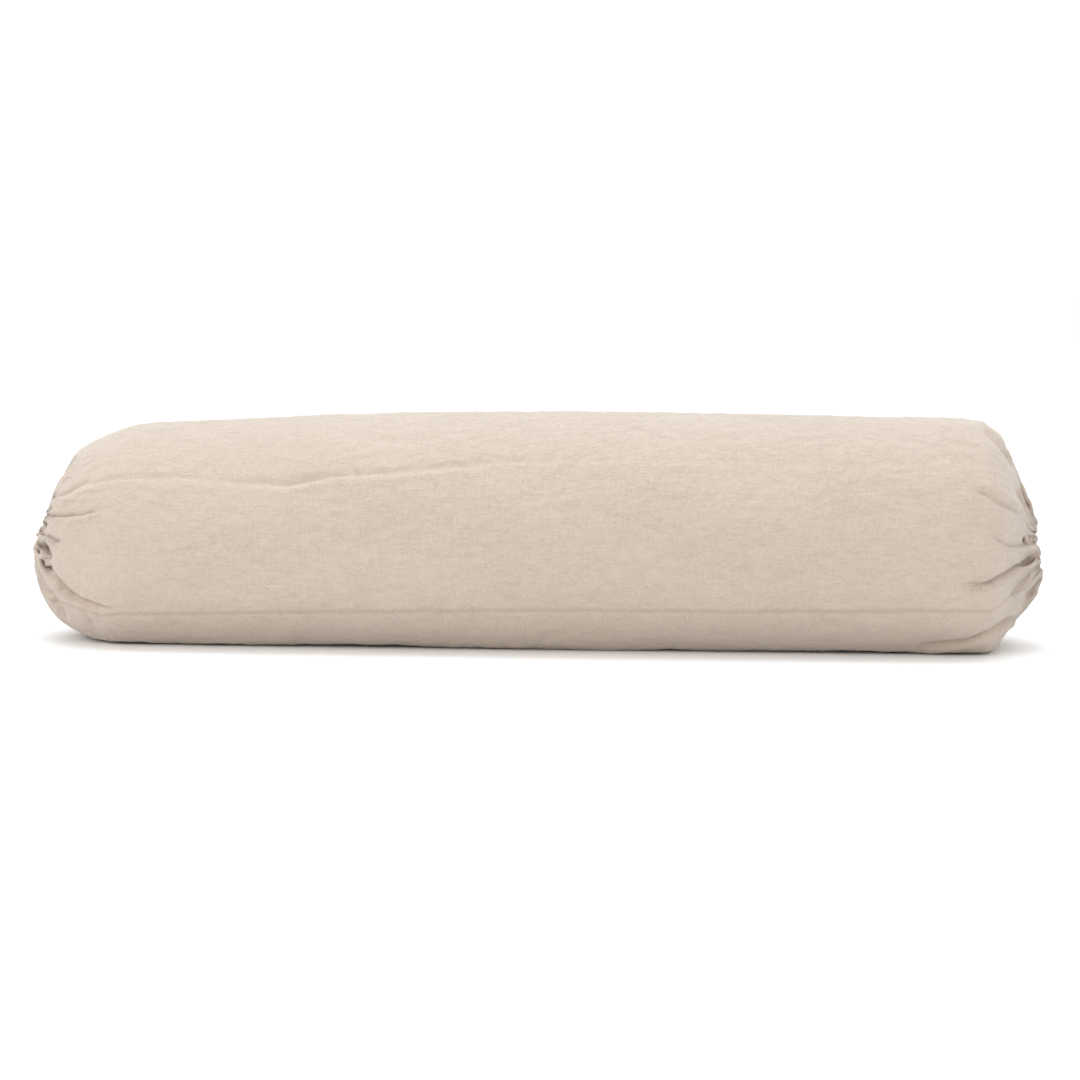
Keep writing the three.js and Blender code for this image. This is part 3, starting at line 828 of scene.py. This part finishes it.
def crinkled(obj):
    """Gives the cloth its crinkles, the groove, the creases and the puckered long seam."""
    u, v = cloth_places(obj)
    warp_u = u + 0.010 * field(u, v, 0.045, 0.03, 1)
    warp_v = v + 0.006 * field(u, v, 0.04, 0.03, 2)
    lift = 0.0009 * field(u, v, 0.16, 0.07, 3) + 0.0005 * field(warp_u, warp_v, 0.07, 0.026, 4)
    calm = 1 - 0.75 * smoothstep(0.40, 0.47, np.abs(u))
    for cell_u, cell_v, height, seed in (
        (0.022, 0.0140, 0.00052, 5),
        (0.015, 0.0100, 0.00040, 6),
        (0.011, 0.0070, 0.00024, 7),
    ):
        lift += height * calm * (0.5 - np.abs(field(warp_u, warp_v, cell_u, cell_v, seed))) * 2
    path = np.array(GROOVE)
    turn = np.interp(u, path[:, 0], np.radians(path[:, 1]))
    deep = np.interp(u, path[:, 0], path[:, 2])
    gap = round_gap(u, v, turn)
    lift += deep * (0.6 * hump(gap + 0.0085, 0.0060) - 1.5 * hump(gap, 0.0040))
    for u0, turn0, u1, turn1, depth in CREASES:
        share = np.clip((u - u0) / (u1 - u0), 0, 1)
        gap = round_gap(u, v, np.radians(turn0 + (turn1 - turn0) * share))
        fade = smoothstep(0, 0.2, share) * smoothstep(1, 0.8, share)
        lift += depth * fade * (0.6 * hump(gap + 0.006, 0.004) - hump(gap, 0.003))
    lift += end_folds(u, v)
    gap = (v + GIRTH / 2) % GIRTH - GIRTH / 2
    pucker = 0.0003 * np.sin(u / 0.0095 * 2 * math.pi + 3 * field(u, v, 0.03, 0.2, 8))
    lift += (pucker - 0.0004) * hump(gap, 0.0032) + 0.0003 * hump(gap + 0.007, 0.005)
    set_positions(obj, positions(obj) + normals(obj) * lift[:, None])


# ---------------------------------------------------------------- hems and cords


def rim(cover, side):
    """The cover's edge at one mouth, as a ring of points in order."""
    u, v = cloth_places(cover)
    edge = np.flatnonzero((np.abs(u - ROW_RUN[0 if side < 0 else -1]) < 1e-5) & (v < GIRTH - 1e-4))
    return positions(cover)[edge[np.argsort(v[edge])]]


def hem(side, ring):
    """The channel that the pleats end in: the cloth turned in at the mouth and back over the cord."""
    middle = ring.mean(axis=0)
    # how far in from the mouth, the share of its radius, and how much of its waves is left
    path = [
        (0.0000, 1.00, 1.0), (0.0003, 0.96, 0.98), (0.0012, 0.90, 0.92), (0.0026, 0.80, 0.80),
        (0.0046, 0.69, 0.62), (0.0075, 0.61, 0.45), (0.0100, 0.60, 0.32), (0.0122, 0.64, 0.24),
        (0.0136, 0.74, 0.18), (0.0142, 0.86, 0.15),
    ]
    away = ring - middle
    radius = np.hypot(away[:, 1], away[:, 2])
    even = MOUTH_RADIUS / np.maximum(radius, 0.004)
    rows = []
    for inwards, share, waves in path:
        scale = share * (waves + (1 - waves) * even)
        row = middle + away * scale[:, None]
        row[:, 0] = middle[0] + away[:, 0] * waves - side * inwards
        rows.append(row)
    if side < 0:
        rows = rows[::-1]
    run = np.arange(len(path)) * 0.003
    name = "left_hem" if side < 0 else "right_hem"
    return grid_object(name, np.array(rows), uv=(run, round_cloth(len(ring))))


def across_curve(curve):
    """Two directions across a curve at each of its points, at right angles to each other."""
    ahead = np.gradient(curve, axis=0)
    ahead /= np.linalg.norm(ahead, axis=1)[:, None]
    across = np.cross(ahead, (1.0, 0.03, 0.02))
    across /= np.linalg.norm(across, axis=1)[:, None]
    return across, np.cross(ahead, across)


def tubes(name, curves, radius, sides):
    """Round closed tubes along the given curves, as one mesh."""
    points, faces = [], []
    for curve in curves:
        across, over = across_curve(curve)
        first = len(points)
        for j in range(len(curve)):
            for i in range(sides):
                angle = i / sides * 2 * math.pi
                points.append(curve[j] + radius * (across[j] * math.cos(angle) + over[j] * math.sin(angle)))
        for j in range(len(curve) - 1):
            for i in range(sides):
                k = (i + 1) % sides
                a, b = first + j * sides, first + (j + 1) * sides
                faces.append((a + i, a + k, b + k, b + i))
        for j in (0, len(curve) - 1):
            loop = [first + j * sides + i for i in range(sides)]
            faces.append(tuple(loop if j else loop[::-1]))
    return new_object(name, points, faces)


def rope(name, curves, radius):
    """A three-strand twisted cord along each curve."""
    strands = []
    for curve in curves:
        curve = np.array(curve)
        run = np.concatenate([[0], np.cumsum(np.linalg.norm(np.diff(curve, axis=0), axis=1))])
        across, over = across_curve(curve)
        for strand in range(3):
            phase = (run / LAY_LENGTH * 2 * math.pi + strand * 2 * math.pi / 3)[:, None]
            strands.append(curve + 0.46 * radius * (across * np.cos(phase) + over * np.sin(phase)))
    return tubes(name, strands, 0.56 * radius, 6)


def cords(side, middle):
    """The cord's ring in its channel, and the knot and tails tucked into the mouth."""
    end = "left" if side < 0 else "right"
    turn = np.linspace(0, 2 * math.pi, 120)
    x = np.full(120, middle[0] - side * 0.0085)
    ring = np.stack([x, middle[1] + 0.0170 * np.sin(turn), middle[2] - 0.0170 * np.cos(turn)], axis=-1)
    cord = rope(f"{end}_cord", [ring], 0.0021)
    tails = []
    for way in (-1, 1):
        path = [
            (0.0070, way * 0.0015, -0.0165),
            (0.0055, way * 0.0020, -0.0110),
            (0.0045, -way * 0.0024, -0.0070),
            (0.0040, way * 0.0016, -0.0045),
            (0.0050, way * 0.0055, -0.0045),
            (0.0065, way * 0.0080, 0.0000),
            (0.0090, way * 0.0062, 0.0045),
            (0.0125, way * 0.0020, 0.0060 + way * 0.0012),
        ]
        path = [(middle[0] - side * a, middle[1] + b, middle[2] + c) for a, b, c in path]
        tails.append(spline(path, 70))
    turn = np.linspace(0, 4 * math.pi, 90)
    wraps = np.stack(
        [
            middle[0] - side * (0.0050 + 0.0030 * np.cos(turn * 0.5)),
            middle[1] + 0.0034 * np.sin(turn),
            middle[2] - 0.0066 + 0.0026 * np.cos(turn),
        ],
        axis=-1,
    )
    knot = rope(f"{end}_knot", tails + [wraps], 0.0019)
    return cord, knot


# ---------------------------------------------------------------- the insert's pieces


def tucked_under(obj, tree, clear):
    """Pulls a piece in wherever it, or a neighbouring point, comes closer than clear to the cover."""
    points, ways = positions(obj), normals(obj)
    reach = 0.03
    inset = np.zeros(len(points))
    for i, (point, way) in enumerate(zip(points, ways)):
        hit = tree.ray_cast(Vector(point - way * reach), Vector(way), reach + 0.02)
        if hit[0] is not None:
            inset[i] = max(0.0, reach + clear - hit[3])
    a, b = edge_ends(obj)
    widest = inset.copy()
    np.maximum.at(widest, a, inset[b])
    np.maximum.at(widest, b, inset[a])
    set_positions(obj, points - ways * widest[:, None])


def insert_pieces(tree):
    """The casing, its end panels and seams, and the filling inside, each a little inside the last."""
    around = 120
    turn = np.arange(around) / around * 2 * math.pi
    left_rim = int(np.argmin(np.abs(ROW_X + CASING_END)))
    right_rim = int(np.argmin(np.abs(ROW_X - CASING_END)))

    def sheet(name, rows, run, clear):
        piece = grid_object(name, np.array(rows), uv=(run, round_cloth(around)))
        tucked_under(piece, tree, clear)
        return piece

    def layer(first, last, depth):
        return [insert_row(j, turn, depth) for j in range(first, last)]

    run = ROW_RUN[left_rim : right_rim + 1]
    tube = sheet("insert_tube", layer(left_rim, right_rim + 1, 0), run, 0.0040)
    cut_slot(tube)
    pieces = {"insert_tube": tube}
    for end, side, rim in (("left", -1, left_rim), ("right", 1, right_rim)):

        def closed_in(rows):
            closing = closing_rows(rows[0 if side < 0 else -1], side)
            return closing[::-1] + rows if side < 0 else rows + closing

        rows = closed_in(layer(LEFT_END, rim + 1, 0) if side < 0 else layer(rim, RIGHT_END + 1, 0))
        name = f"{end}_insert_end"
        pieces[name] = sheet(name, rows, np.linspace(0, 0.13, len(rows)), 0.0040)
        inner = layer(LEFT_END, rim, 0.0045) if side < 0 else layer(rim + 1, RIGHT_END + 1, 0.0045)
        name = f"{end}_end_filling"
        pieces[name] = closed_object(name, closed_in(inner))
        tucked_under(pieces[name], tree, 0.0075)
        strip = layer(rim, rim + 3, 0.0025) if side < 0 else layer(rim - 2, rim + 1, 0.0025)
        name = f"{end}_insert_seam"
        pieces[name] = sheet(name, strip, np.arange(3) * 0.005, 0.0060)
    outer = layer(left_rim + 1, right_rim, 0.0062)
    for ring in outer:
        # room for the zip at the back
        ring[:, 1] -= 0.006 * hump(turn - math.pi, 0.16) * (abs(ring[0, 0]) < 0.256)
    inner = layer(left_rim + 1, right_rim, 0.0165)
    pieces["wadding"] = grid_object("wadding", np.array(outer + inner[::-1] + outer[:1]))
    pieces["core_filling"] = closed_object("core_filling", layer(left_rim + 1, right_rim, 0.0180))
    return pieces


def care_label(tree):
    """A blank folded label, sewn into the long seam and lying between cover and insert."""
    low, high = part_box("care_label")
    rows = []
    for depth, downs in ((0.0012, np.linspace(0.001, 0.025, 9)), (0.0023, np.linspace(0.025, 0.003, 9))):
        for down in downs:
            row = []
            for x in np.linspace(low[0], high[0], 12):
                turn = SEAM_TURN + SEAM_TWIST * x - down / 0.117
                way = Vector((0, -math.cos(turn), math.sin(turn)))
                hit = tree.ray_cast(Vector((x, 0, 0.11)), way)
                row.append(hit[0] - way * depth)
            rows.append(row)
    return grid_object("label", np.array(rows), False)


def zip_tape(name, node):
    """A woven tape: a thin closed strip with a corded edge and a slight ripple."""
    (x0, y0, z0), (x1, y1, z1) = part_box(node)
    across = np.linspace(z0, z1, 8)
    outer = z0 if (z0 + z1) / 2 < ZIP_HEIGHT else z1
    half = 0.00016 + 0.00010 * (np.abs(across - outer) < 0.001)
    rows = []
    for x in np.linspace(x0, x1, 180):
        middle = (y0 + y1) / 2 + 0.00004 * math.sin(x / 0.009 * 2 * math.pi)
        face = [(x, middle - h, z) for z, h in zip(across, half)]
        back = [(x, middle + h, z) for z, h in zip(across, half)]
        rows.append(np.array(face + back[::-1]))
    return closed_object(name, rows)


def zip_coil(name, node):
    """The nylon coil that is sewn along a tape's inner edge."""
    (x0, y0, z0), (x1, y1, z1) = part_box(node)
    pitch, wire, steps = 0.0014, 0.00027, 9
    angle = np.arange(int((x1 - x0) / pitch * steps)) / steps * 2 * math.pi
    x = np.linspace(x0 + wire, x1 - wire, len(angle))
    y = (y0 + y1) / 2 + ((y1 - y0) / 2 - wire) * np.cos(angle)
    z = (z0 + z1) / 2 + ((z1 - z0) / 2 - wire) * np.sin(angle)
    return tubes(name, [np.stack([x, y, z], axis=-1)], wire, 4)


def cut_slot(tube):
    """Opens the casing over the zip."""
    mesh = tube.data
    bm = bmesh.new()
    bm.from_mesh(mesh)
    gone = []
    for face in bm.faces:
        middle = face.calc_center_median()
        beside_zip = abs(middle.z - ZIP_HEIGHT) < SLOT_HALF_WIDTH and abs(middle.x) < SLOT_HALF_LENGTH
        if middle.y > 0.1 and beside_zip:
            gone.append(face)
    bmesh.ops.delete(bm, geom=gone, context="FACES")
    bm.to_mesh(mesh)
    bm.free()


# ---------------------------------------------------------------- build

points = start_shape()
draft = grid_object("draft", points)
form = closed_object("form", insert_form())
points = drape(draft, form, 36)
bpy.data.objects.remove(form)
bpy.data.objects.remove(draft)
points = evened(points)
points[:, :, 2] = np.maximum(points[:, :, 2], 0.0008)
MOUTHS = {side: points[0 if side < 0 else -1].mean(axis=0) for side in (-1, 1)}
# the panel is one sheet, and its two long edges meet at the seam
panel = np.concatenate([points, points[:, :1]], axis=1)
cover = grid_object("cover", panel, False, (ROW_RUN, round_cloth(AROUND)))
smooth = cover.modifiers.new("smooth", "SUBSURF")
smooth.levels = smooth.render_levels = 1
smooth.boundary_smooth = "PRESERVE_CORNERS"
bpy.context.view_layer.objects.active = cover
bpy.ops.object.modifier_apply(modifier="smooth")
sharpened(cover)
folded(cover)
seamed(cover)
over_zip(cover, 0.0026)
crinkled(cover)
seamed(cover)
over_zip(cover, 0.0009)
points = positions(cover)
points[:, 2] = np.maximum(points[:, 2], 0.0003)
set_positions(cover, points)
hems = {side: hem(side, rim(cover, side)) for side in (-1, 1)}

RIBS = ((300, 6000, 6000), 2, 0.5)  # of satin ribbon
GRAINS = ((700, 700, 700), 3, 0.6)  # of moulded nylon
STROKES = ((250, 5000, 5000), 3, 0.6)  # of a brush on zinc, along the zip
RIBBON_DARK, RIBBON_LIGHT = (0.84, 0.82, 0.78), (0.92, 0.91, 0.88)
NYLON_DARK, NYLON_LIGHT = (0.78, 0.75, 0.69), (0.86, 0.84, 0.79)
METAL_DARK, METAL_LIGHT = (0.55, 0.54, 0.51), (0.72, 0.71, 0.68)
MATERIALS = {
    "linen": linen(),
    "cord": plain_cloth("cord", (0.66, 0.58, 0.50), 900),
    "cotton": plain_cloth("cotton", (0.80, 0.75, 0.67), 1500),
    "filling": plain_cloth("filling", (0.88, 0.87, 0.85), 300),
    "label": marked("label", RIBS, RIBBON_DARK, RIBBON_LIGHT, 0.0001, roughness=0.5, sheen=0.3),
    "coil": marked("coil", GRAINS, NYLON_DARK, NYLON_LIGHT, 0.00005, roughness=0.38),
}
METAL = marked("zip_metal", STROKES, METAL_DARK, METAL_LIGHT, 0.00004, roughness=0.36, metallic=1.0)


def finished(piece, slot, *nodes):
    """Gives a piece the material of its slot and hides the CAD nodes it stands for; all of them ride the
    root.
    """
    piece.data.materials.append(MATERIALS[slot])
    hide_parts(*nodes)
    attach(piece, "root")
    return piece


finished(cover, "linen", "cover_panel", "cover_long_seam")
faces = [p.vertices[:] for p in cover.data.polygons]
surface = BVHTree.FromPolygons([v.co[:] for v in cover.data.vertices], faces)
inside = insert_pieces(surface)
tube = finished(inside["insert_tube"], "cotton", "casing_tube")
wadding = finished(inside["wadding"], "filling", "wadding_wrap")
core = finished(inside["core_filling"], "filling", "fibre_core")
panels, seams, fillings = [], [], []
for end, side in (("left", -1), ("right", 1)):
    finished(hems[side], "linen", f"{end}_hem_channel")
    cord, knot = cords(side, MOUTHS[side])
    finished(cord, "cord", f"{end}_drawcord")
    finished(knot, "cord", f"{end}_cord_knot")
    panels.append(finished(inside[f"{end}_insert_end"], "cotton", f"{end}_end_panel"))
    seams.append(finished(inside[f"{end}_insert_seam"], "cotton", f"{end}_end_seam"))
    fillings.append(finished(inside[f"{end}_end_filling"], "filling", f"{end}_end_fill"))
label = finished(care_label(surface), "label", "care_label")
for place in ("lower", "upper"):
    node = f"zip_{place}_tape"
    finished(zip_tape(f"{place}_tape", node), "cotton", node)
    node = f"zip_{place}_coil"
    finished(zip_coil(f"{place}_coil", node), "coil", node)
for node in ("zip_slider", "zip_bottom_stop", "zip_lower_top_stop", "zip_upper_top_stop"):
    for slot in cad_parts[node].material_slots:
        slot.material = METAL

# ---------------------------------------------------------------- stage


def floor():
    bpy.ops.mesh.primitive_plane_add(size=30, location=(0, 0, 0))
    plane = bpy.context.object
    plane.name = "floor"
    n = Nodes("floor")
    n.set("Base Color", (0.93, 0.93, 0.93, 1))
    n.surface(1.0, specular=0.0)
    plane.data.materials.append(n.material)


def light(name, place, target, size, power, color):
    data = bpy.data.lights.new(name, "AREA")
    assign(data, shape="RECTANGLE", size=size[0], size_y=size[1], energy=power, color=color)
    lamp = bpy.data.objects.new(name, data)
    bpy.context.scene.collection.objects.link(lamp)
    lamp.location = place
    lamp.rotation_euler = (Vector(target) - Vector(place)).to_track_quat("-Z", "Y").to_euler()


def camera():
    data = bpy.data.cameras.new("camera")
    data.lens = 100
    data.sensor_width = 36
    view = bpy.data.objects.new("camera", data)
    bpy.context.scene.collection.objects.link(view)
    view.location = AIM - view_axes()[2] * DISTANCE
    view.rotation_euler = view_axes()[2].to_track_quat("-Z", "Y").to_euler()
    bpy.context.scene.camera = view


floor()
light("overhead", (0.0, 0.2, 2.4), (0, 0, 0.1), (3.2, 1.4), 41, (0.82, 0.92, 1.0))
light("front", (-1.7, -1.8, 1.3), (-0.1, 0, 0.1), (2.0, 1.2), 13, (1.0, 0.99, 0.97))
world = bpy.data.worlds.new("world")
world.use_nodes = True
world.node_tree.nodes["Background"].inputs[0].default_value = (1, 1, 1, 1)
world.node_tree.nodes["Background"].inputs[1].default_value = 1.11
bpy.context.scene.world = world
bpy.context.scene.view_settings.view_transform = "Standard"
camera()
